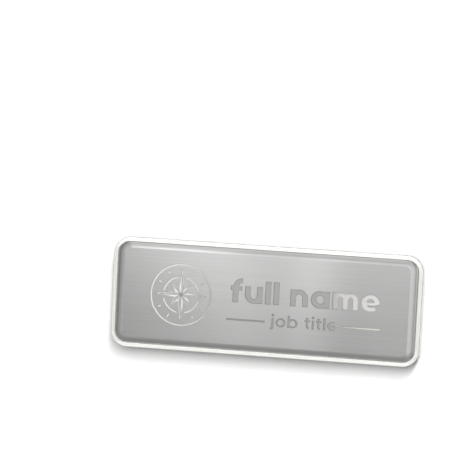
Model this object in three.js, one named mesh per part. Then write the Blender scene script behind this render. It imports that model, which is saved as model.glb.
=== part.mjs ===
import * as THREE from 'three';

// Name badge with a magnet clasp, in millimetres, +Z up.
// It lies face up on the outer face of its magnet bar, on the plane z = 0.
// X runs along the badge, +Y points to the top edge of the face.

// Face plate: a pressed sheet with a rolled rim
const plateLength = 75;
const plateWidth = 25.4;
const plateCorner = 3;
const plateSheet = 0.5;
const plateRollWidth = 1.3;
const plateRollDrop = 0.75;
const plateProud = 0.3;

// Clear frame: a thin wall round the face plate, on a ledge that carries it
const frameDepth = 3;
const frameWall = 0.9;
const frameLedgeReach = 0.6;
const frameLedgeDepth = 1.2;
const frameBackRound = 0.5;
const frameFrontRound = 0.25;

// Back plate: closes the opening inside the ledge
const backRecess = 0.2;
const backThickness = 1.2;
const backChamfer = 0.15;

// Steel bar, fixed to the back plate with a foam pad
const steelLength = 43;
const steelWidth = 12.2;
const steelCorner = 2;
const steelThickness = 1.6;
const steelRound = 0.5;
const steelCentreY = 1.5;
const steelTurn = THREE.MathUtils.degToRad(2.3);
const padInset = 0.35;
const padThickness = 1.1;

// Magnet bar: a moulded cover on a pale carrier, with the magnet under them
const coverLength = 43;
const coverWidth = 12.2;
const coverCorner = 2;
const coverThickness = 0.9;
const coverRound = 0.3;
const carrierProud = 0.25;
const carrierThickness = 0.6;
const magnetInset = 1;
const magnetThickness = 0.7;
const magnetCentreY = -2.75;
const magnetTurn = THREE.MathUtils.degToRad(-10.6);

// Clearances
const fitGap = 0.2;
const layerGap = 0.1;
const clampGap = 0.3;

// Fineness of the round corners and of the rolled edges
const cornerSteps = 10;
const rollSteps = 6;
const edgeSteps = 3;

// Sizes that follow from the pieces they fit
const frameInset = frameWall + fitGap;
const frameLength = plateLength + 2 * frameInset;
const frameWidth = plateWidth + 2 * frameInset;
const frameCorner = plateCorner + frameInset;
const ledgeInset = frameWall + frameLedgeReach;
const backInset = ledgeInset + fitGap;

// Heights, from the surface up
const carrierZ = coverThickness + layerGap;
const magnetZ = carrierZ + carrierThickness + layerGap;
const steelZ = magnetZ + magnetThickness + clampGap;
const padZ = steelZ + steelThickness + layerGap;
const backZ = padZ + padThickness + layerGap;
const frameZ = backZ - backRecess;
const plateZ = frameZ + frameLedgeDepth + fitGap;
const plateHeight = frameZ + frameDepth + plateProud - plateZ;

// Points of a rounded rectangle at one height, anticlockwise from above
function outlinePoints(plan, inset, z) {
  const radius = plan.corner - inset;
  const cornerX = plan.length / 2 - plan.corner;
  const cornerY = plan.width / 2 - plan.corner;
  const centres = [[cornerX, cornerY], [-cornerX, cornerY], [-cornerX, -cornerY], [cornerX, -cornerY]];
  const points = [];
  centres.forEach(([x, y], quarter) => {
    for (let step = 0; step <= cornerSteps; step += 1) {
      const angle = (Math.PI / 2) * (quarter + step / cornerSteps);
      points.push(new THREE.Vector3(x + radius * Math.cos(angle), y + radius * Math.sin(angle), z));
    }
  });
  return points;
}

// A body whose outline follows a profile of insets and heights.
// A ring's profile closes on itself; any other starts and ends in a flat cap.
function outlineBody(plan, profile, isRing = false) {
  const rows = profile.map(([inset, z]) => outlinePoints(plan, inset, z));
  const count = rows[0].length;
  const positions = rows.flat().flatMap((point) => point.toArray());
  const index = [];
  const rowPairs = isRing ? rows.length : rows.length - 1;
  for (let row = 0; row < rowPairs; row += 1) {
    const lower = row * count;
    const upper = ((row + 1) % rows.length) * count;
    for (let step = 0; step < count; step += 1) {
      const next = (step + 1) % count;
      index.push(lower + step, lower + next, upper + next);
      index.push(lower + step, upper + next, upper + step);
    }
  }
  if (!isRing) {
    const last = (rows.length - 1) * count;
    for (let step = 1; step < count - 1; step += 1) {
      index.push(0, step + 1, step);
      index.push(last, last + step, last + step + 1);
    }
  }
  const geometry = new THREE.BufferGeometry();
  geometry.setAttribute('position', new THREE.Float32BufferAttribute(positions, 3));
  geometry.setIndex(index);
  geometry.computeVertexNormals();
  return geometry;
}

// Profile points of an elliptical edge; shares run from 0 at its foot to 1 at its top
function edgeArc(steps, insetAt, heightAt) {
  return Array.from({ length: steps + 1 }, (unused, step) => {
    const angle = (Math.PI / 2) * (step / steps);
    return [insetAt(1 - Math.cos(angle)), heightAt(Math.sin(angle))];
  });
}

// A slab with one or both of its long edges rounded
function slabBody(plan, thickness, roundBelow, roundAbove) {
  const below = edgeArc(edgeSteps, (share) => roundBelow * share, (share) => roundBelow * (1 - share));
  const above = edgeArc(
    edgeSteps,
    (share) => roundAbove * share,
    (share) => thickness - roundAbove * (1 - share),
  );
  const lowerRows = roundBelow > 0 ? below.reverse() : [[0, 0]];
  const upperRows = roundAbove > 0 ? above : [[0, thickness]];
  return outlineBody(plan, [...lowerRows, ...upperRows]);
}

function insetPlan(plan, inset) {
  return {
    length: plan.length - 2 * inset,
    width: plan.width - 2 * inset,
    corner: plan.corner - inset,
  };
}

const framePlan = { length: frameLength, width: frameWidth, corner: frameCorner };
const platePlan = { length: plateLength, width: plateWidth, corner: plateCorner };
const backPlan = insetPlan(framePlan, backInset);
const steelPlan = { length: steelLength, width: steelWidth, corner: steelCorner };
const coverPlan = { length: coverLength, width: coverWidth, corner: coverCorner };

const clearAcrylic = new THREE.MeshStandardMaterial({
  color: 0xe9ebe4,
  roughness: 0.05,
  metalness: 0,
  transparent: true,
  opacity: 0.4,
});
const brushedSteel = new THREE.MeshStandardMaterial({ color: 0xc8c7c3, roughness: 0.35, metalness: 1 });
const greyPlastic = new THREE.MeshStandardMaterial({ color: 0xd9d5d0, roughness: 0.5, metalness: 0 });
const foamTape = new THREE.MeshStandardMaterial({ color: 0xb9b3a6, roughness: 0.9, metalness: 0 });
const brightNickel = new THREE.MeshStandardMaterial({ color: 0xefefee, roughness: 0.15, metalness: 1 });
const blackPlastic = new THREE.MeshStandardMaterial({ color: 0x3b3a40, roughness: 0.65, metalness: 0 });
const creamPlastic = new THREE.MeshStandardMaterial({ color: 0xd6d3ae, roughness: 0.6, metalness: 0 });
const darkNickel = new THREE.MeshStandardMaterial({ color: 0x6b6b6e, roughness: 0.3, metalness: 1 });

// Clear frame: wall, ledge and the opening behind the ledge
function makeClearFrame() {
  const backEdge = edgeArc(
    edgeSteps,
    (share) => frameBackRound * share,
    (share) => frameBackRound * (1 - share),
  ).reverse();
  const frontEdge = edgeArc(
    edgeSteps,
    (share) => frameFrontRound * share,
    (share) => frameDepth - frameFrontRound * (1 - share),
  );
  const inside = [
    [frameWall, frameDepth],
    [frameWall, frameLedgeDepth],
    [ledgeInset, frameLedgeDepth],
    [ledgeInset, 0],
  ];
  const mesh = new THREE.Mesh(outlineBody(framePlan, [...backEdge, ...frontEdge, ...inside], true), clearAcrylic);
  mesh.name = 'clear_frame';
  mesh.position.z = frameZ;
  return mesh;
}

// Face plate: flat in the middle, rolled down to a skirt that stands on the ledge, hollow below
function makeFacePlate() {
  const outer = edgeArc(
    rollSteps,
    (share) => plateRollWidth * share,
    (share) => plateHeight - plateRollDrop * (1 - share),
  );
  const inner = edgeArc(
    rollSteps,
    (share) => plateSheet + (plateRollWidth - plateSheet) * share,
    (share) => plateHeight - plateSheet - (plateRollDrop - plateSheet) * (1 - share),
  ).reverse();
  const profile = [...inner, [plateSheet, 0], [0, 0], ...outer];
  const mesh = new THREE.Mesh(outlineBody(platePlan, profile), brushedSteel);
  mesh.name = 'face_plate';
  mesh.position.z = plateZ;
  return mesh;
}

// Back plate: a flat slab inside the frame's opening
function makeBackPlate() {
  const profile = [
    [backChamfer, 0],
    [0, backChamfer],
    [0, backThickness],
  ];
  const mesh = new THREE.Mesh(outlineBody(backPlan, profile), greyPlastic);
  mesh.name = 'back_plate';
  mesh.position.z = backZ;
  return mesh;
}

// Foam pad and steel bar, stuck to the back plate slightly above its middle
function makeSteelBar() {
  const group = new THREE.Group();
  group.position.y = steelCentreY;
  group.rotation.z = steelTurn;
  const pad = new THREE.Mesh(slabBody(insetPlan(steelPlan, padInset), padThickness, 0, 0), foamTape);
  pad.name = 'adhesive_pad';
  pad.position.z = padZ;
  const bar = new THREE.Mesh(slabBody(steelPlan, steelThickness, steelRound, 0), brightNickel);
  bar.name = 'steel_bar';
  bar.position.z = steelZ;
  group.add(pad, bar);
  return group;
}

// Magnet bar: cover, carrier and magnet, turned askew under the steel bar
function makeMagnetBar() {
  const group = new THREE.Group();
  group.position.y = magnetCentreY;
  group.rotation.z = magnetTurn;
  const cover = new THREE.Mesh(slabBody(coverPlan, coverThickness, coverRound, 0), blackPlastic);
  cover.name = 'magnet_cover';
  const carrierPlan = insetPlan(coverPlan, -carrierProud);
  const carrier = new THREE.Mesh(slabBody(carrierPlan, carrierThickness, 0, 0), creamPlastic);
  carrier.name = 'magnet_carrier';
  carrier.position.z = carrierZ;
  const magnet = new THREE.Mesh(slabBody(insetPlan(coverPlan, magnetInset), magnetThickness, 0, 0), darkNickel);
  magnet.name = 'magnet';
  magnet.position.z = magnetZ;
  group.add(cover, carrier, magnet);
  return group;
}

const badge = new THREE.Group();
badge.add(makeClearFrame(), makeFacePlate(), makeBackPlate(), makeSteelBar(), makeMagnetBar());

export default badge;
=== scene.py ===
"""Name badge with a magnet clasp, lying face up on its magnet bar.

A brushed metal face plate sits in a clear acrylic frame. A steel bar on the back holds a loose
magnet bar. Lengths here are millimetres unless a comment says otherwise; the scene is in metres.
"""

import math

import bmesh
import bpy
import numpy as np
from mathutils import Matrix, Vector, noise
from mathutils.geometry import delaunay_2d_cdt


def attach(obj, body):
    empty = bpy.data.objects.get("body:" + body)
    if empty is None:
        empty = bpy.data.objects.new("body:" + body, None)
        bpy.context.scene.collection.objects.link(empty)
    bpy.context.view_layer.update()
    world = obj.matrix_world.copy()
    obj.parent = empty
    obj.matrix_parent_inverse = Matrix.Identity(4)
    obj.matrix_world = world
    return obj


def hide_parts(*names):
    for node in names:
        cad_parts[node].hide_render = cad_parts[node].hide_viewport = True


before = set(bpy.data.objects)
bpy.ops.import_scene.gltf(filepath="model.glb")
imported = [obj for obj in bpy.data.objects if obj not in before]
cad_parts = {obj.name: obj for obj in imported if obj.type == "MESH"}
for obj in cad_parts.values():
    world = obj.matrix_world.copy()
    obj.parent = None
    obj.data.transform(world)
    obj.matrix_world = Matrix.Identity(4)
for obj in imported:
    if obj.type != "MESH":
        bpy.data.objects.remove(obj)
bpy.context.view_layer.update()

MM = 0.001

# Camera; places are measured from the floor under the middle of the badge
CAMERA_PLACE = (103.2, 99.7, 735.0)
CAMERA_AIM = (-9.75, 17.15, 8.4)
CAMERA_ROLL = 2.9
CAMERA_FOCUS_PIXELS = 3000
CAMERA_CLIP_START = 10
PICTURE_PIXELS = 460
SENSOR_WIDTH = 36

# Studio
WORLD_RADIANCE = 0.3
FLOOR_REACH = 3000

# Face plate
PLATE_CORNER = 3
PLATE_SHEET = 0.5
ROLL_WIDTH = 1.5
END_ROLL_WIDTH = 2.0
ROLL_DROP = 0.75
ROLL_SWEEP = 62
CREST_STEPS = 2
ENGRAVING_DEPTH = 0.3
BRUSH_LAYER = "brush"
UPRIGHT_SLOPE = 0.15

# Clear frame; its wall reaches further in than the solid's, which keeps a wider gap to the plate
FRAME_WALL = 0.9
FRAME_CORNER = 4.1
FRAME_LEDGE_REACH = 0.6
FRAME_LEDGE_DEPTH = 1.2
FRAME_BACK_ROUND = 0.5
FRAME_FRONT_ROUND = 0.3
FRAME_INNER_ROUND = 0.1
SOLID_GAP = 0.2
VISIBLE_GAP = 0.05
WALL_SLOPE = 0.1
EDGE_SLOPE = 0.7

# Places of the finishes among the materials of the face plate and of the clear frame
BRUSHED, ETCHED, CREST_HIGHLIGHT = range(3)
BODY, WALL, EDGE_SHADE = range(3)

# Bars of the clasp
BAR_CORNER = 2
STEEL_ROUND = 0.5
COVER_ROUND = 0.3
CELL_PITCH = 3.0
CELL_GROOVE = 0.05
CELL_GROOVE_WIDTH = 0.2
CELL_DOME = 0.012
CELL_WOBBLE = 0.12
CELL_WOBBLE_PER_MM = 1.3
CELL_WOBBLE_SLICE = 0.4
CELL_WOBBLE_SEED = 5
RELIEF_STEP = 0.13
RELIEF_MARGIN = 0.6 * RELIEF_STEP
RELIEF_FADE = 0.35

# Engraved words and the rules beside the lower line
NAME_LINE = {"left": -8.8, "right": 28.4, "baseline": -0.62, "height": 4.15, "weight": 0.345}
TITLE_LINE = {"left": 1.2, "right": 18.2, "baseline": -6.05, "height": 2.2, "weight": 0.25}
RULE_Y = -4.95
RULE_WIDTH = 0.45
RULE_SPANS = ((-9.5, 0.1), (19.3, 28.8))

# Emblem; angles are degrees
EMBLEM_CENTRE = (-21.15, 0.2)
EMBLEM_LINE = 0.45
EMBLEM_RADIUS = 7.8
STAR_RING = 4.7
STAR_RING_BREAK = 11
STAR_POINTS = 8
STAR_LONG = 6.6
STAR_SHORT = 3.7
STAR_WAIST = 1.7
STAR_LINE = 0.3
STAR_LINE_SHARE = 0.97
MARKS = 12
MARK_INNER = 5.7
MARK_OUTER = 6.7

# Painted light on the etched floor: tones as shares of the way along the badge, then painted shade by the
# walls and a painted highlight at a rule's end
ETCH_REACH = 37.5
ETCH_PAINTED_LIGHT = (
    (0.0, 0.79),
    (0.17, 0.79),
    (0.26, 0.72),
    (0.33, 0.5),
    (0.37, 0.36),
    (0.71, 0.35),
    (0.75, 0.54),
    (0.88, 0.62),
    (1.0, 0.62),
)
ETCH_TINT = (1, 0.99, 0.965)
ETCH_SHADE_REACH = 0.2
ETCH_SHADE_SAMPLES = 8
ETCH_WALL_SHADE = (0.45, 0.45, 0.45)
RULE_END_HIGHLIGHT = (1.18, 1.18, 1.13)
RULE_HIGHLIGHT_X = (21, 24.5)
RULE_HIGHLIGHT_Y = (-3.9, -4.4)

# Painted shade on the clear frame towards its two ends
FRAME_END_SHADE = (0.82, 0.82, 0.81)
FRAME_END_X = (35, 38)

# Values of the noise nodes that most of a surface has
NOISE_SPAN = (0.3, 0.7)
WHITE = (1, 1, 1)

# Letter shapes, as shares of the height of a small letter; angles are degrees
ASCENDER = 1.36
DESCENDER = -0.34
OVERSHOOT = 0.02
ROUND_WIDTH = 1.14
ARCH_WIDTH = 1.07
DOUBLE_ARCH_WIDTH = 0.95
SHOULDER_SWEEP = 155
WORD_GAP = 0.36
DOT_HEIGHT = 1.31
E_START = -10
E_END = 318
E_TONGUE_DROP = 0.12
F_TOP = 1.46
F_LEFT = 0.14
F_RIGHT = 0.22
F_HOOK = 0.24
F_CROSSBAR_TOP = 0.97
J_HOOK = 0.12
T_TOP = 1.27
T_LEFT = 0.16
T_RIGHT = 0.2

# Thickness of single strokes, as shares of the letter's weight
LEVEL_SHARE = 0.8
DOT_SHARE = 0.6
E_TONGUE_SHARE = 0.6
F_CROSSBAR_SHARE = 0.72
J_HOOK_SHARE = 0.62
T_CROSSBAR_SHARE = 0.84

# Fineness
CORNER_STEPS = 20
ROLL_STEPS = 12
EDGE_STEPS = 6
ARC_STEPS = 28
ARC_STEPS_LEAST = 4
MERGE_DISTANCE = 1e-5

# The kind of triangulation that keeps only what lies inside the given outlines
INSIDE_ONLY = 1

# Sides of the middle on which a rectangle's corners lie, anticlockwise from above
CORNER_SIDES = ((1, 1), (-1, 1), (-1, -1), (1, -1))


# Outlines and lofts


def rounded_outline(length, width, corner, inset):
    """Points of a rounded rectangle, anticlockwise from above."""
    radius = corner - inset
    points = []
    for quarter, (side_x, side_y) in enumerate(CORNER_SIDES):
        centre_x = side_x * (length / 2 - corner)
        centre_y = side_y * (width / 2 - corner)
        for step in range(CORNER_STEPS + 1):
            angle = math.pi / 2 * (quarter + step / CORNER_STEPS)
            points.append((centre_x + radius * math.cos(angle), centre_y + radius * math.sin(angle)))
    return points


def edge_arc(steps, inset, height, foot_inset=0.0, foot_height=0.0, sweep=90.0):
    """Profile points of a rounded edge, from its upright foot to its top."""
    end = math.radians(sweep)
    points = []
    for step in range(steps + 1):
        angle = end * step / steps
        across = (1 - math.cos(angle)) / (1 - math.cos(end))
        up = math.sin(angle) / math.sin(end)
        points.append((foot_inset + inset * across, foot_height + height * up))
    return points


def rounded_foot(radius):
    """Profile points of a rounded lower edge, from the flat below it to the upright wall."""
    points = [(inset, radius - height) for inset, height in edge_arc(EDGE_STEPS, radius, radius)]
    return points[::-1]


def loft_rows(mesh, plan, profile, end_share=1.0):
    """Rows of vertices, one for each (inset, height) of the profile, joined by faces.

    The inset at the two short ends is end_share times the one along the sides.
    """
    length, width, corner = plan
    rows = []
    for inset, height in profile:
        outline = rounded_outline(length - 2 * inset * (end_share - 1), width, corner, inset)
        rows.append([mesh.verts.new((x, y, height)) for x, y in outline])
    for lower, upper in zip(rows, rows[1:]):
        join_rows(mesh, lower, upper)
    return rows


def join_rows(mesh, lower, upper):
    """Smooth faces between two rows of vertices."""
    count = len(lower)
    for step in range(count):
        after = (step + 1) % count
        mesh.faces.new((lower[step], lower[after], upper[after], upper[step])).smooth = True


def give_finish(lower, upper, index):
    """Gives the faces between two rows of vertices another material."""
    below = {face for vertex in lower for face in vertex.link_faces}
    above = {face for vertex in upper for face in vertex.link_faces}
    for face in below & above:
        face.material_index = index


def make_sharp(row):
    """Marks the edges along a row of vertices as creases."""
    ring_vertices = set(row)
    for vertex in row:
        for edge in vertex.link_edges:
            if edge.other_vert(vertex) in ring_vertices:
                edge.smooth = False


def finish_object(name, mesh, materials, place=(0, 0, 0), turn=0.0):
    """An object in metres from a mesh in millimetres."""
    for vertex in mesh.verts:
        vertex.co *= MM
    data = bpy.data.meshes.new(name)
    mesh.to_mesh(data)
    mesh.free()
    for material in materials:
        data.materials.append(material)
    piece = bpy.data.objects.new(name, data)
    piece.location = Vector(place) * MM
    piece.rotation_euler.z = turn
    bpy.context.collection.objects.link(piece)
    return piece


# Places and sizes of the CAD slabs


class Slab:
    """Length, width, turn, middle, foot and top of a CAD node, in millimetres."""

    TRIED_TURNS = np.radians(np.arange(-20, 20, 0.05))

    def __init__(self, node):
        points = np.array([vertex.co[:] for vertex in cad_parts[node].data.vertices]) / MM
        flat = points[:, :2]
        self.foot = float(points[:, 2].min())
        self.height = float(points[:, 2].max()) - self.foot
        self.turn = min(self.TRIED_TURNS, key=lambda turn: np.prod(np.ptp(self.turned(flat, turn), axis=0)))
        own = self.turned(flat, self.turn)
        self.length, self.width = (float(size) for size in np.ptp(own, axis=0))
        middle = (own.min(axis=0) + own.max(axis=0)) / 2
        self.x, self.y = (float(value) for value in self.turned(middle, -self.turn))

    @staticmethod
    def turned(points, turn):
        """Points seen from axes that are turned anticlockwise."""
        cos = math.cos(turn)
        sin = math.sin(turn)
        return points @ np.array([[cos, -sin], [sin, cos]])

    @property
    def place(self):
        return (self.x, self.y, self.foot)


# Materials


class Material:
    """A Principled material and the nodes that feed it."""

    def __init__(self, name, **values):
        self.data = bpy.data.materials.new(name)
        self.data.use_nodes = True
        self.tree = self.data.node_tree
        self.tree.nodes.clear()
        self.shader = self.add("BsdfPrincipled", **values)
        self.add("OutputMaterial", Surface=self.shader.outputs["BSDF"])
        self.coordinates = self.add("TexCoord").outputs["Object"]

    def put(self, socket, value):
        """Feeds a socket from another one, or sets it to a plain value."""
        if isinstance(value, bpy.types.NodeSocket):
            self.tree.links.new(value, socket)
        else:
            socket.default_value = value

    def add(self, kind, settings=(), **values):
        """A node; values go by the input's name, with _ for a space."""
        node = self.tree.nodes.new("ShaderNode" + kind)
        for key, value in dict(settings).items():
            setattr(node, key, value)
        for key, value in values.items():
            self.put(node.inputs[key.replace("_", " ")], value)
        return node

    def feed(self, name, value):
        self.put(self.shader.inputs[name], value)

    def scaled(self, per_mm):
        """Object coordinates with so many units to the millimetre along each axis."""
        scale = tuple(value / MM for value in per_mm)
        return self.add("Mapping", Vector=self.coordinates, Scale=scale).outputs["Vector"]

    def noise(self, per_mm, detail, roughness=0.5, distortion=0.0):
        node = self.add(
            "TexNoise",
            Vector=self.scaled(per_mm),
            Scale=1.0,
            Detail=detail,
            Roughness=roughness,
            Distortion=distortion,
        )
        return node.outputs["Fac"]

    def cells(self, per_mm, feature="F1"):
        node = self.add("TexVoronoi", {"feature": feature}, Vector=self.scaled(per_mm), Scale=1.0)
        return node.outputs["Distance"]

    def spread(self, value, low=0.0, high=1.0, source=NOISE_SPAN):
        """The value's usual span stretched to another span."""
        node = self.add("MapRange", Value=value)
        for name, number in zip(("From Min", "From Max", "To Min", "To Max"), (*source, low, high)):
            node.inputs[name].default_value = number
        return node.outputs["Result"]

    def calculate(self, operation, *values):
        node = self.add("Math", {"operation": operation})
        for socket, value in zip(node.inputs, values):
            self.put(socket, value)
        return node.outputs["Value"]

    def plus(self, first, second, share):
        """The first value and a share of the second."""
        return self.calculate("MULTIPLY_ADD", second, share, first)

    def along(self, axis, span, from_middle=False):
        """From 0 to 1 along an axis of the object, between two places in millimetres."""
        value = self.add("SeparateXYZ", Vector=self.coordinates).outputs[axis]
        if from_middle:
            value = self.calculate("ABSOLUTE", value)
        return self.spread(value, source=[place * MM for place in span])

    def mix(self, factor, first, second, kind="MIX"):
        """Two colours mixed by a factor; each is a socket or three numbers."""
        node = self.add("Mix", {"data_type": "RGBA", "blend_type": kind})
        sockets = {socket.identifier: socket for socket in node.inputs}
        self.put(sockets["Factor_Float"], factor)
        for name, colour in (("A_Color", first), ("B_Color", second)):
            self.put(sockets[name], (*colour, 1) if isinstance(colour, tuple) else colour)
        return next(socket for socket in node.outputs if socket.identifier == "Result_Color")

    def multiply(self, first, second):
        return self.mix(1.0, first, second, "MULTIPLY")

    def ramp(self, value, tones, tint):
        """Tinted greys at shares of the value's span."""
        node = self.add("ValToRGB", Fac=value)
        elements = node.color_ramp.elements
        while len(elements) < len(tones):
            elements.new(1.0)
        for element, (share, grey) in zip(elements, tones):
            element.position = share
            element.color = (*(grey * part for part in tint), 1)
        return node.outputs["Color"]

    def colour(self, value, dark, pale, source=NOISE_SPAN):
        """Base colour between two tones, by a value."""
        self.feed("Base Color", self.mix(self.spread(value, source=source), dark, pale))

    def roughness(self, value, low, high, source=NOISE_SPAN):
        """Roughness between two amounts, by a value."""
        self.feed("Roughness", self.spread(value, low, high, source))

    def bump(self, value, depth):
        """Relief of a depth in millimetres."""
        node = self.add("Bump", Strength=1.0, Distance=depth * MM, Height=value)
        self.feed("Normal", node.outputs["Normal"])


def brushed_metal(name="brushed_metal", dark=(0.61, 0.61, 0.605), pale=(0.69, 0.69, 0.685)):
    """Steel brushed along the badge, so its gloss spreads across the strokes."""
    metal = Material(name, Metallic=1.0, Anisotropic=0.9, Anisotropic_Rotation=0.25)
    fine = metal.noise((0.02, 9, 0.5), detail=2.5, roughness=0.6)
    broad = metal.noise((0.02, 2.2, 0.3), detail=2.5, roughness=0.6)
    streaks = metal.plus(fine, broad, share=0.4)
    metal.colour(streaks, dark, pale, source=(0.45, 0.95))
    metal.roughness(fine, 0.275, 0.305)
    metal.bump(streaks, depth=0.0012)
    tangent = metal.add("Tangent", {"direction_type": "UV_MAP", "uv_map": BRUSH_LAYER})
    metal.feed("Tangent", tangent.outputs["Tangent"])
    return metal.data


def crest_highlight_metal():
    """The crest of the roll, painted a little brighter than the rest as a painted highlight along the bend.
    """
    return brushed_metal("crest_highlight_metal", dark=(0.68, 0.68, 0.675), pale=(0.76, 0.76, 0.755))


def etched_metal():
    """Matt, finely grained floor of the engraved lines: dark along the walls from painted shade, paler at
    the ends from painted light, with a painted highlight at a rule's end.
    """
    metal = Material("etched_metal", Metallic=0.5, Roughness=0.5)
    grain = metal.noise((7, 7, 7), detail=3, roughness=0.7)
    clouds = metal.noise((0.9, 0.9, 0.9), detail=2)
    mottle = metal.spread(metal.plus(grain, clouds, share=0.7), source=(0.5, 1.2))
    # Painted light: the etched floor is paler towards both ends of the badge and darker in the middle
    painted_light_tone = metal.ramp(metal.along("X", (-ETCH_REACH, ETCH_REACH)), ETCH_PAINTED_LIGHT, ETCH_TINT)
    mottle_and_painted_light = metal.multiply(painted_light_tone, metal.mix(mottle, (0.9, 0.9, 0.9), (1.06, 1.06, 1.05)))
    samples = {"samples": ETCH_SHADE_SAMPLES}
    # Painted shade: the floor is darkened close to the walls of each engraved line
    openness = metal.add("AmbientOcclusion", samples, Distance=ETCH_SHADE_REACH * MM).outputs["AO"]
    shade = metal.mix(metal.spread(openness, source=(0.5, 0.92)), ETCH_WALL_SHADE, WHITE)
    # Painted highlight: the floor of the right rule is painted paler towards its right end
    rule_highlight_mask = metal.calculate("MULTIPLY", metal.along("Y", RULE_HIGHLIGHT_Y), metal.along("X", RULE_HIGHLIGHT_X))
    painted_rule_highlight = metal.mix(rule_highlight_mask, WHITE, RULE_END_HIGHLIGHT)
    metal.feed("Base Color", metal.multiply(metal.multiply(mottle_and_painted_light, shade), painted_rule_highlight))
    metal.bump(grain, depth=0.02)
    return metal.data


def clear_acrylic():
    """Clear polished acrylic with a slightly milky body and faint saw marks, with painted shade towards its
    two short sides.
    """
    acrylic = Material("clear_acrylic", IOR=1.49, Transmission_Weight=0.5)
    marks = acrylic.noise((0.25, 0.25, 1.5), detail=3)
    body = acrylic.mix(acrylic.spread(marks), (0.97, 0.965, 0.93), (1.0, 1.0, 0.975))
    # Painted shade: the frame's colour is darker towards both of its short sides
    ends = acrylic.mix(acrylic.along("X", FRAME_END_X, from_middle=True), WHITE, FRAME_END_SHADE)
    acrylic.feed("Base Color", acrylic.multiply(body, ends))
    acrylic.roughness(marks, 0.02, 0.10)
    acrylic.bump(marks, depth=0.006)
    return acrylic.data


def acrylic_wall():
    """The frame's upright outer wall: clear, faintly creamy, with soft polishing marks."""
    acrylic = Material("acrylic_wall", IOR=1.49, Transmission_Weight=0.85)
    marks = acrylic.noise((0.12, 0.12, 1.6), detail=2)
    acrylic.colour(marks, dark=(0.84, 0.835, 0.78), pale=(0.93, 0.93, 0.88))
    acrylic.roughness(marks, 0.02, 0.07)
    acrylic.bump(marks, depth=0.003)
    return acrylic.data


def acrylic_edge_shade():
    """The thin dark line along the frame's rounded front edge, a painted shade on clear acrylic."""
    acrylic = Material("acrylic_edge_shade", IOR=1.49, Transmission_Weight=0.3)
    marks = acrylic.noise((0.3, 0.3, 4), detail=3, roughness=0.6)
    # Painted shade: the rounded front edge of the clear frame is coloured dark
    acrylic.colour(marks, dark=(0.2, 0.2, 0.19), pale=(0.36, 0.355, 0.34))
    acrylic.roughness(marks, 0.05, 0.15)
    acrylic.bump(marks, depth=0.006)
    return acrylic.data


def back_plastic():
    """Satin warm grey plastic with faint clouds and a fine moulded grain."""
    plastic = Material("back_plastic", Specular_IOR_Level=0.45)
    clouds = plastic.noise((0.09, 0.14, 0.1), detail=3)
    grain = plastic.noise((9, 9, 9), detail=2, roughness=0.7)
    plastic.colour(clouds, dark=(0.61, 0.585, 0.55), pale=(0.68, 0.66, 0.63))
    plastic.roughness(clouds, 0.42, 0.52)
    plastic.bump(grain, depth=0.012)
    return plastic.data


def foam_tape():
    """Matt foam with small open pores in its cut edge, painted darker inside the pores as painted shade."""
    foam = Material("foam_tape", Specular_IOR_Level=0.2)
    pores = foam.cells((4.5, 4.5, 4.5))
    clouds = foam.noise((1.2, 1.2, 1.2), detail=3)
    # Painted shade: the foam is darker towards the middle of each pore
    foam.colour(pores, dark=(0.30, 0.28, 0.22), pale=(0.50, 0.47, 0.39), source=(0.1, 0.6))
    foam.roughness(clouds, 0.82, 0.95)
    foam.bump(pores, depth=0.12)
    return foam.data


def bright_nickel():
    """Nearly mirror-like plating with slight waves and fine scuffs."""
    nickel = Material("bright_nickel", Metallic=1.0)
    waves = nickel.noise((1.1, 1.1, 1.1), detail=2)
    scuffs = nickel.noise((7, 3, 7), detail=4, roughness=0.7)
    nickel.colour(waves, dark=(0.80, 0.80, 0.78), pale=(0.90, 0.90, 0.885))
    nickel.roughness(scuffs, 0.07, 0.18)
    nickel.bump(nickel.plus(waves, scuffs, share=0.25), depth=0.012)
    return nickel.data


def black_plastic():
    """Matt black moulding with a fine leathery grain."""
    plastic = Material("black_plastic", Specular_IOR_Level=0.4)
    pebbles = plastic.cells((2.6, 2.6, 2.6), "SMOOTH_F1")
    creases = plastic.noise((1.8, 1.8, 1.8), detail=5, roughness=0.6, distortion=0.8)
    grain = plastic.plus(pebbles, creases, share=0.8)
    plastic.colour(creases, dark=(0.034, 0.033, 0.038), pale=(0.055, 0.053, 0.061))
    plastic.roughness(grain, 0.52, 0.72, source=(0.4, 1.1))
    plastic.bump(grain, depth=0.05)
    return plastic.data


def cream_plastic():
    """Pale cream satin strip with a cut, slightly streaked edge."""
    plastic = Material("cream_plastic", Specular_IOR_Level=0.4)
    streaks = plastic.noise((0.5, 0.5, 6), detail=3)
    plastic.colour(streaks, dark=(0.58, 0.56, 0.36), pale=(0.70, 0.68, 0.47))
    plastic.roughness(streaks, 0.45, 0.6)
    plastic.bump(streaks, depth=0.02)
    return plastic.data


def dark_nickel():
    """Dark plating on the magnet, lightly pitted."""
    nickel = Material("dark_nickel", Metallic=1.0)
    pits = nickel.noise((3, 3, 3), detail=4, roughness=0.7)
    nickel.colour(pits, dark=(0.26, 0.26, 0.27), pale=(0.36, 0.36, 0.37))
    nickel.roughness(pits, 0.25, 0.4)
    nickel.bump(pits, depth=0.02)
    return nickel.data


def white_floor():
    """Matt white paper with faint clouds."""
    paper = Material("white_floor", Roughness=0.9, Specular_IOR_Level=0.1)
    clouds = paper.noise((0.05, 0.05, 0.05), detail=2)
    paper.colour(clouds, dark=(0.68, 0.68, 0.68), pale=(0.70, 0.70, 0.70))
    return paper.data


# Strokes of the engraving, each a simple polygon


def bar(start, end, width):
    """A straight stroke with square ends."""
    start = Vector(start)
    end = Vector(end)
    side = (end - start).normalized().orthogonal() * width / 2
    return [start - side, end - side, end + side, start + side]


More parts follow.
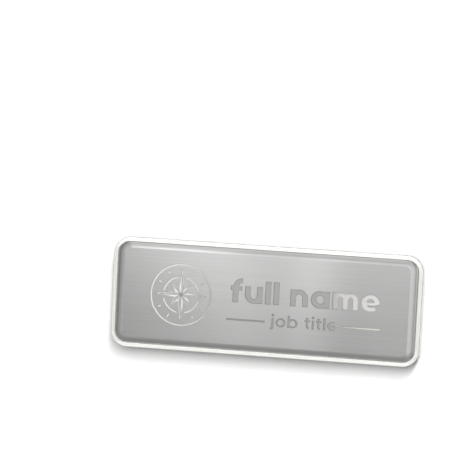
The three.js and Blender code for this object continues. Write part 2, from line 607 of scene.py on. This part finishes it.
def arc(centre, radii, start, end, width, level_share=1.0):
    """A stroke round part of an ellipse, thinner where it runs level; the radii are its outer ones."""
    steps = max(ARC_STEPS_LEAST, math.ceil(ARC_STEPS * abs(end - start) / 360))
    rims = []
    for inset in (0, width):
        rim = []
        for step in range(steps + 1):
            angle = math.radians(start + (end - start) * step / steps)
            x = centre[0] + (radii[0] - inset) * math.cos(angle)
            y = centre[1] + (radii[1] - inset * level_share) * math.sin(angle)
            rim.append(Vector((x, y)))
        rims.append(rim)
    outer, inner = rims
    return outer + inner[::-1]


def ring(centre, radii, width, level_share=1.0):
    """A closed ring in two halves."""
    return [arc(centre, radii, start, start + 180, width, level_share) for start in (0, 180)]


def direction(degrees):
    angle = math.radians(degrees)
    return Vector((math.cos(angle), math.sin(angle)))


def disc(centre, radius):
    turns = np.linspace(0, 2 * math.pi, ARC_STEPS, endpoint=False)
    return [Vector(centre) + radius * Vector((math.cos(turn), math.sin(turn))) for turn in turns]


def stem(x, low, high, weight):
    """An upright stroke whose left side is at x."""
    return bar((x + weight / 2, low), (x + weight / 2, high), weight)


def crossbar(right, top, width):
    """A level stroke from the letter's left side, given its upper edge."""
    return bar((0, top - width / 2), (right, top - width / 2), width)


def dot(left, weight):
    """The dot over a stem whose left side is given."""
    return disc((left + weight / 2, DOT_HEIGHT), DOT_SHARE * weight)


def bowl(weight):
    """The round of an o."""
    radius = ROUND_WIDTH / 2
    return ring((radius, 0.5), (radius, 0.5 + OVERSHOOT), weight, LEVEL_SHARE)


def arch(left, width, weight):
    """The round shoulder of an n with its right leg."""
    radius = width / 2
    shoulder = 1 + OVERSHOOT - radius
    curve = arc((left + radius, shoulder), (radius, radius), 0, SHOULDER_SWEEP, weight, LEVEL_SHARE)
    return [curve, stem(left + width - weight, 0, shoulder, weight)]


# Letters; each function gives the letter's strokes and its width


def letter_a(weight):
    return [*bowl(weight), stem(ROUND_WIDTH - weight, 0, 1, weight)], ROUND_WIDTH


def letter_b(weight):
    return [*bowl(weight), stem(0, 0, ASCENDER, weight)], ROUND_WIDTH


def letter_e(weight):
    radius = ROUND_WIDTH / 2
    radii = (radius, 0.5 + OVERSHOOT)
    half_way = E_START + 180
    curves = [
        arc((radius, 0.5), radii, start, end, weight, LEVEL_SHARE)
        for start, end in ((E_START, half_way), (half_way, E_END))
    ]
    tongue_y = 0.5 - E_TONGUE_DROP * weight
    tongue_end = ROUND_WIDTH - weight / 2
    tongue = bar((weight / 2, tongue_y), (tongue_end, tongue_y), E_TONGUE_SHARE * weight)
    return [*curves, tongue], ROUND_WIDTH


def letter_f(weight):
    hook = F_HOOK + weight
    curve = arc((F_LEFT + hook, F_TOP - hook), (hook, hook), 90, 180, weight, LEVEL_SHARE)
    shaft = stem(F_LEFT, 0, F_TOP - hook, weight)
    cross = crossbar(F_LEFT + weight + F_RIGHT, F_CROSSBAR_TOP, F_CROSSBAR_SHARE * weight)
    return [curve, shaft, cross], F_LEFT + hook


def letter_i(weight):
    return [stem(0, 0, 1, weight), dot(0, weight)], weight


def letter_j(weight):
    """The hook reaches as far to the left as it is deep."""
    hook = J_HOOK_SHARE * weight + J_HOOK
    foot = DESCENDER + hook
    curve = arc((weight / 2, foot), (hook + weight / 2, hook), 270, 360, weight)
    return [curve, stem(hook, foot, 1, weight), dot(hook, weight)], hook + weight


def letter_l(weight):
    return [stem(0, 0, ASCENDER, weight)], weight


def letter_m(weight):
    second = DOUBLE_ARCH_WIDTH - weight
    arches = arch(0, DOUBLE_ARCH_WIDTH, weight) + arch(second, DOUBLE_ARCH_WIDTH, weight)
    return [stem(0, 0, 1, weight), *arches], second + DOUBLE_ARCH_WIDTH


def letter_n(weight):
    return [stem(0, 0, 1, weight), *arch(0, ARCH_WIDTH, weight)], ARCH_WIDTH


def letter_o(weight):
    return bowl(weight), ROUND_WIDTH


def letter_t(weight):
    hook = T_RIGHT + weight / 2
    right = T_LEFT + weight + T_RIGHT
    curve = arc((T_LEFT + hook, hook), (hook, hook), 180, 270, weight)
    shaft = stem(T_LEFT, hook, T_TOP, weight)
    return [curve, shaft, crossbar(right, 1, T_CROSSBAR_SHARE * weight)], right


def letter_u(weight):
    """An n turned upside down."""
    shapes, width = letter_n(weight)
    return [[Vector((width - x, 1 - y)) for x, y in shape] for shape in shapes], width


LETTERS = {
    "a": letter_a,
    "b": letter_b,
    "e": letter_e,
    "f": letter_f,
    "i": letter_i,
    "j": letter_j,
    "l": letter_l,
    "m": letter_m,
    "n": letter_n,
    "o": letter_o,
    "t": letter_t,
    "u": letter_u,
}


def words(text, left, right, baseline, height, weight):
    """The text's polygons, letterspaced to run from left to right."""
    drawn = [([], WORD_GAP) if letter == " " else LETTERS[letter](weight) for letter in text]
    unspaced = sum(width for _, width in drawn) * height
    gap = (right - left - unspaced) / (len(text) - 1)
    shapes = []
    pen = left
    for strokes, width in drawn:
        for stroke in strokes:
            shapes.append([Vector((pen + x * height, baseline + y * height)) for x, y in stroke])
        pen += width * height + gap
    return shapes


def emblem():
    """A plain compass star inside two thin rings, with short marks between them.

    The inner ring and the marks leave room for the star's four long points.
    """
    centre = Vector(EMBLEM_CENTRE)
    shapes = ring(centre, (EMBLEM_RADIUS, EMBLEM_RADIUS), EMBLEM_LINE)
    for quarter in range(4):
        start = 90 * quarter + STAR_RING_BREAK
        end = 90 * (quarter + 1) - STAR_RING_BREAK
        shapes.append(arc(centre, (STAR_RING, STAR_RING), start, end, EMBLEM_LINE))
    for mark in range(MARKS):
        way = direction(360 / MARKS * mark)
        if mark % (MARKS // 4):
            shapes.append(bar(centre + way * MARK_INNER, centre + way * MARK_OUTER, EMBLEM_LINE))
    turn = 360 / STAR_POINTS
    for point in range(STAR_POINTS):
        tip = direction(turn * point) * (STAR_SHORT if point % 2 else STAR_LONG)
        waist_before = direction(turn * (point - 0.5)) * STAR_WAIST
        waist_after = direction(turn * (point + 0.5)) * STAR_WAIST
        shapes.append([centre.copy(), centre + tip, centre + waist_after])
        shapes.append(bar(centre + waist_before, centre + tip * STAR_LINE_SHARE, STAR_LINE))
    return shapes


def engraving():
    """All polygons that are sunk into the face."""
    rules = [bar((start, RULE_Y), (end, RULE_Y), RULE_WIDTH) for start, end in RULE_SPANS]
    return [*emblem(), *words("full name", **NAME_LINE), *words("job title", **TITLE_LINE), *rules]


# Face plate


class Level:
    """Vertices of a flat at one height, each made when it is first asked for."""

    def __init__(self, mesh, spots, height):
        self.mesh = mesh
        self.spots = spots
        self.height = height
        self.vertices = {}

    def vertex(self, spot):
        if spot not in self.vertices:
            self.vertices[spot] = self.mesh.verts.new((*self.spots[spot], self.height))
        return self.vertices[spot]


def engraved_flat(mesh, border, top, shapes):
    """Fills a border of vertices with a flat in which the shapes are sunk."""
    points = [vertex.co.xy.copy() for vertex in border]
    outlines = [list(range(len(border)))]
    for shape in shapes:
        outlines.append(list(range(len(points), len(points) + len(shape))))
        points.extend(shape)
    spots, _, triangles, sources, _, owners = delaunay_2d_cdt(
        points,
        [],
        outlines,
        INSIDE_ONLY,
        MERGE_DISTANCE,
    )
    upper = Level(mesh, spots, top)
    lower = Level(mesh, spots, top - ENGRAVING_DEPTH)
    for spot, origins in enumerate(sources):
        for origin in origins:
            if origin < len(border):
                upper.vertices[spot] = border[origin]
    sunk_sides = []
    for corners, owner in zip(triangles, owners):
        sunk = any(source > 0 for source in owner)
        level = lower if sunk else upper
        face = mesh.faces.new([level.vertex(spot) for spot in corners])
        face.material_index = ETCHED if sunk else BRUSHED
        if sunk:
            sunk_sides.extend(zip(corners, corners[1:] + corners[:1]))
    known_sides = set(sunk_sides)
    for start, end in sunk_sides:
        if (end, start) not in known_sides:
            wall = (upper.vertex(start), upper.vertex(end), lower.vertex(end), lower.vertex(start))
            mesh.faces.new(wall).material_index = ETCHED


def lay_brush_layer(mesh):
    """Texture axes along the badge on the face, and along the rim on upright walls."""
    layer = mesh.loops.layers.uv.new(BRUSH_LAYER)
    for face in mesh.faces:
        face.normal_update()
        upright = abs(face.normal.z) < UPRIGHT_SLOPE
        along_x = abs(face.normal.y) > abs(face.normal.x)
        for loop in face.loops:
            x, y, z = loop.vert.co
            if not upright:
                loop[layer].uv = (x, y)
            elif along_x:
                loop[layer].uv = (x, z)
            else:
                loop[layer].uv = (z, y)


def make_face_plate():
    slab = Slab("face_plate")
    plan = (slab.length, slab.width, PLATE_CORNER)
    roll_foot = slab.height - ROLL_DROP
    inner_width = ROLL_WIDTH - PLATE_SHEET
    inner_drop = ROLL_DROP - PLATE_SHEET
    inner_roll = edge_arc(ROLL_STEPS, inner_width, inner_drop, PLATE_SHEET, roll_foot)
    outer_roll = edge_arc(ROLL_STEPS, ROLL_WIDTH, ROLL_DROP, 0, roll_foot, ROLL_SWEEP)
    mesh = bmesh.new()
    hollow = loft_rows(mesh, plan, [*inner_roll[::-1], (PLATE_SHEET, 0), (0, 0)])
    roll = loft_rows(mesh, plan, outer_roll, END_ROLL_WIDTH / ROLL_WIDTH)
    # Painted highlight: the last rows of the roll get a brighter metal
    crest = roll[-CREST_STEPS - 1:]
    for lower, upper in zip(crest, crest[1:]):
        give_finish(lower, upper, CREST_HIGHLIGHT)
    join_rows(mesh, hollow[-1], roll[0])
    mesh.faces.new(hollow[0][::-1])
    engraved_flat(mesh, roll[-1], slab.height, engraving())
    for row in (*hollow[-2:], roll[-1]):
        make_sharp(row)
    lay_brush_layer(mesh)
    finishes = [brushed_metal(), etched_metal(), crest_highlight_metal()]
    plate = finish_object("engraved_face", mesh, finishes, slab.place)
    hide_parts("face_plate")
    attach(plate, "badge")


# Clear frame


def make_clear_frame():
    slab = Slab("clear_frame")
    plan = (slab.length, slab.width, FRAME_CORNER)
    wall = FRAME_WALL + SOLID_GAP - VISIBLE_GAP
    ledge = wall + FRAME_LEDGE_REACH
    front_foot = slab.height - FRAME_FRONT_ROUND
    front = edge_arc(EDGE_STEPS, FRAME_FRONT_ROUND, FRAME_FRONT_ROUND, 0, front_foot)
    inside = [
        (wall - FRAME_INNER_ROUND, slab.height),
        (wall, slab.height - FRAME_INNER_ROUND),
        (wall, FRAME_LEDGE_DEPTH),
        (ledge, FRAME_LEDGE_DEPTH),
        (ledge, 0),
    ]
    mesh = bmesh.new()
    rows = loft_rows(mesh, plan, [*rounded_foot(FRAME_BACK_ROUND), *front, *inside])
    join_rows(mesh, rows[-1], rows[0])
    for row in (rows[0], *rows[-len(inside):]):
        make_sharp(row)
    mesh.normal_update()
    for face in mesh.faces:
        outward = face.calc_center_median().xy.dot(face.normal.xy) > 0
        face.material_index = BODY
        if outward and abs(face.normal.z) < WALL_SLOPE:
            face.material_index = WALL
        # The rounded front edge gets the painted shade
        elif outward and WALL_SLOPE < face.normal.z < EDGE_SLOPE:
            face.material_index = EDGE_SHADE
    finishes = [clear_acrylic(), acrylic_wall(), acrylic_edge_shade()]
    ring_piece = finish_object("acrylic_frame", mesh, finishes, slab.place)
    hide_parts("clear_frame")
    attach(ring_piece, "badge")


# Clasp bars


def cell_depth(x, y):
    """Depth of the embossing in the bar's surface: domed honeycomb cells with narrow grooves."""
    place = Vector((x * CELL_WOBBLE_PER_MM, y * CELL_WOBBLE_PER_MM, CELL_WOBBLE_SLICE))
    wobble = noise.noise_vector(place) * CELL_WOBBLE
    x += wobble.x
    y += wobble.y
    row_pitch = CELL_PITCH * math.sqrt(3) / 2
    near_row = round(y / row_pitch)
    distances = []
    for row in (near_row - 1, near_row, near_row + 1):
        shift = CELL_PITCH / 2 * (row % 2)
        near_column = round((x - shift) / CELL_PITCH)
        for column in (near_column - 1, near_column, near_column + 1):
            distances.append(math.hypot(x - shift - column * CELL_PITCH, y - row * row_pitch))
    nearest, second = sorted(distances)[:2]
    to_edge = (second - nearest) / 2
    groove = max(0.0, 1 - to_edge / CELL_GROOVE_WIDTH)
    smooth_groove = groove * groove * (3 - 2 * groove)
    dome = (nearest / (CELL_PITCH / 2)) ** 2
    return CELL_GROOVE * smooth_groove + CELL_DOME * dome


def relief_depth(slab, x, y):
    """Depth of the embossing, dying away at the bar's rounded edge."""
    room = min(slab.length / 2 - STEEL_ROUND - abs(x), slab.width / 2 - STEEL_ROUND - abs(y))
    return cell_depth(x, y) * min(1.0, max(0.0, room / RELIEF_FADE))


def relief_flat(mesh, border, slab):
    """Fills the lower border of a bar with a fine flat that carries the embossing."""
    outline = [vertex.co.xy.copy() for vertex in border]
    low = Vector((min(point.x for point in outline), min(point.y for point in outline)))
    high = Vector((max(point.x for point in outline), max(point.y for point in outline)))
    corner = BAR_CORNER - STEEL_ROUND
    points = list(outline)
    for y in np.arange(low.y + RELIEF_MARGIN, high.y - RELIEF_MARGIN, RELIEF_STEP):
        for x in np.arange(low.x + RELIEF_MARGIN, high.x - RELIEF_MARGIN, RELIEF_STEP):
            past_x = max(0.0, abs(x) - (high.x - corner))
            past_y = max(0.0, abs(y) - (high.y - corner))
            if math.hypot(past_x, past_y) < corner - RELIEF_MARGIN:
                points.append(Vector((x, y)))
    spots, _, triangles, sources, _, _ = delaunay_2d_cdt(
        points,
        [],
        [list(range(len(outline)))],
        INSIDE_ONLY,
        MERGE_DISTANCE,
    )
    foot = border[0].co.z
    vertices = []
    for spot, origins in zip(spots, sources):
        on_border = [origin for origin in origins if origin < len(outline)]
        if on_border:
            vertices.append(border[on_border[0]])
        else:
            vertices.append(mesh.verts.new((*spot, foot + relief_depth(slab, *spot))))
    for corners in triangles:
        mesh.faces.new([vertices[spot] for spot in corners[::-1]]).smooth = True


def make_steel_bar():
    slab = Slab("steel_bar")
    plan = (slab.length, slab.width, BAR_CORNER)
    mesh = bmesh.new()
    rows = loft_rows(mesh, plan, [*rounded_foot(STEEL_ROUND), (0, slab.height)])
    mesh.faces.new(rows[-1])
    make_sharp(rows[-1])
    noise.seed_set(CELL_WOBBLE_SEED)
    relief_flat(mesh, rows[0], slab)
    bar_piece = finish_object("embossed_bar", mesh, [bright_nickel()], slab.place, slab.turn)
    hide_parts("steel_bar")
    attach(bar_piece, "badge")


def make_magnet_cover():
    slab = Slab("magnet_cover")
    plan = (slab.length, slab.width, BAR_CORNER)
    mesh = bmesh.new()
    rows = loft_rows(mesh, plan, [*rounded_foot(COVER_ROUND), (0, slab.height)])
    mesh.faces.new(rows[0][::-1])
    mesh.faces.new(rows[-1])
    make_sharp(rows[-1])
    cover = finish_object("grained_cover", mesh, [black_plastic()], slab.place, slab.turn)
    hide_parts("magnet_cover")
    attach(cover, "magnet_bar")


def paint_nodes():
    """Materials of the CAD nodes that stay."""
    finishes = {
        "back_plate": back_plastic,
        "adhesive_pad": foam_tape,
        "magnet_carrier": cream_plastic,
        "magnet": dark_nickel,
    }
    for node, finish in finishes.items():
        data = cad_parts[node].data
        data.materials.clear()
        data.materials.append(finish())


# Stage


def make_floor():
    mesh = bmesh.new()
    corners = [mesh.verts.new((x * FLOOR_REACH, y * FLOOR_REACH, 0)) for x, y in CORNER_SIDES]
    mesh.faces.new(corners)
    finish_object("floor", mesh, [white_floor()])


def make_camera():
    """A camera that faces its aim with the badge's +Y upwards, then rolled."""
    data = bpy.data.cameras.new("camera")
    data.sensor_width = SENSOR_WIDTH
    data.sensor_fit = "HORIZONTAL"
    data.lens = SENSOR_WIDTH * CAMERA_FOCUS_PIXELS / PICTURE_PIXELS
    data.clip_start = CAMERA_CLIP_START * MM
    camera = bpy.data.objects.new("camera", data)
    camera.location = Vector(CAMERA_PLACE) * MM
    forward = (Vector(CAMERA_AIM) - Vector(CAMERA_PLACE)).normalized()
    right = forward.cross(Vector((0, 1, 0))).normalized()
    basis = Matrix((right, right.cross(forward), -forward)).transposed()
    camera.rotation_euler = (basis @ Matrix.Rotation(math.radians(CAMERA_ROLL), 3, "Z")).to_euler()
    bpy.context.collection.objects.link(camera)
    bpy.context.scene.camera = camera


def make_light(name, place, size, radiance, turn=0.0, target=None, in_reflections=True):
    """A soft panel of a given radiance, unseen by the camera, that faces its target or straight down.

    Panels either show in reflections or light the matt surfaces, so the floor keeps clean shadows.
    """
    data = bpy.data.lights.new(name, "AREA")
    data.shape = "RECTANGLE"
    data.size, data.size_y = (length * MM for length in size)
    data.energy = radiance * math.pi * data.size * data.size_y
    light = bpy.data.objects.new(name, data)
    light.location = Vector(place) * MM
    way = Vector(target or (place[0], place[1], 0)) * MM - light.location
    facing = way.normalized().to_track_quat("-Z", "Y").to_matrix()
    light.rotation_euler = (facing @ Matrix.Rotation(math.radians(turn), 3, "Z")).to_euler()
    light.visible_camera = False
    light.visible_glossy = in_reflections
    light.visible_diffuse = not in_reflections
    bpy.context.collection.objects.link(light)


def make_lights():
    """Two panels that light the matt surfaces, then those that show in the metal."""
    badge = (0, 0, 0)
    matt = {"target": badge, "in_reflections": False}
    make_light("key", place=(106, 250, 740), size=(70, 420), radiance=97, **matt)
    make_light("key_left", place=(-230, 540, 520), size=(260, 260), radiance=4, **matt)
    make_light("card_above", place=(12.5, 24, 130), size=(83, 38), radiance=1.5)
    make_light("card_above_left", place=(-46.5, 32, 129), size=(35, 44), radiance=2.1)
    make_light("card_corner", place=(-92, 45, 130), size=(36, 30), radiance=1.0)
    make_light("strip_left", place=(-31, 5, 128), size=(8, 72), radiance=1.25, turn=26)
    make_light("strip_right", place=(-3, 3, 128), size=(8, 74), radiance=0.9, turn=-8)
    make_light("card_top", place=(0, 330, 180), size=(300, 220), radiance=0.95, target=badge)
    make_light("card_right", place=(200, 20, 120), size=(120, 160), radiance=0.8, target=badge)
    make_light("strip_end", place=(78, 8, 130), size=(46, 134), radiance=0.68)
    make_light("card_left", place=(-112, -5, 130), size=(75, 90), radiance=0.3)
    make_light("card_low", place=(22, -42, 130), size=(22, 50), radiance=0.27)


def make_world():
    world = bpy.data.worlds.new("studio")
    world.use_nodes = True
    background = world.node_tree.nodes["Background"]
    background.inputs["Color"].default_value = (*WHITE, 1)
    background.inputs["Strength"].default_value = WORLD_RADIANCE
    bpy.context.scene.world = world
    bpy.context.scene.view_settings.view_transform = "Standard"
    bpy.context.scene.view_settings.look = "None"


make_face_plate()
make_clear_frame()
make_steel_bar()
make_magnet_cover()
paint_nodes()
make_floor()
make_camera()
make_world()
make_lights()
